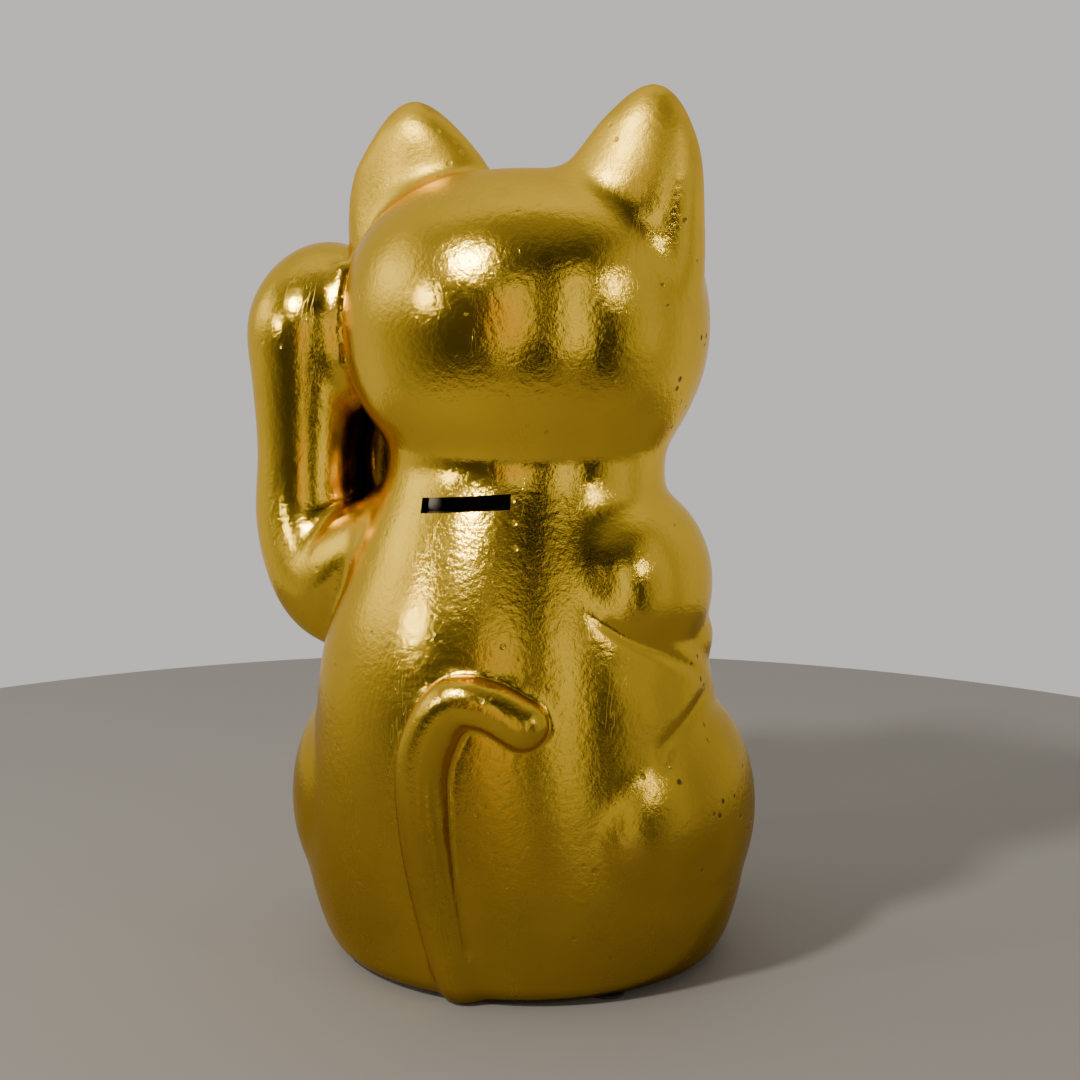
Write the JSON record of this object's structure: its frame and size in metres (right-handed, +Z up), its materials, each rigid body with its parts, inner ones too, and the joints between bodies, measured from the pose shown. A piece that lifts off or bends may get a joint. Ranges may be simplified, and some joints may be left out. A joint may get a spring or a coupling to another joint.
{
  "type": "beckoning cat coin bank",
  "caption": "Gilded ceramic beckoning cat coin bank, seated, with raised left paw, relief tail, coin slot at the nape and soft stopper in the base.",
  "frame": {"origin": "on the table, under the middle of the figure's box", "axes": "+Z up; the cat faces -Y; its raised left arm is on +X"},
  "size_m": [0.1948, 0.1708, 0.299],
  "materials": {
    "gilding": "mirror-bright gold leaf over glazed stoneware, slightly crinkled, worn at the ear edges",
    "stopper": "matt translucent soft plastic",
    "felt": "dense black felt",
    "face_paint": "glossy lacquer, brushed on by hand"
  },
  "bodies": {
    "figure": {"torso": "gilding", "head": "gilding", "raised_arm": "gilding", "tail": "gilding", "coin_plaque": "gilding", "felt_pad_1": "felt", "felt_pad_2": "felt", "felt_pad_3": "felt", "felt_pad_4": "felt"},
    "stopper": {"coin_stopper": "stopper"}
  },
  "joints": [
    {"name": "stopper_pull", "type": "slide", "parent": "figure", "child": "stopper", "axis": [0, 0, -1], "range_m": [0, 0.02]}
  ]
}
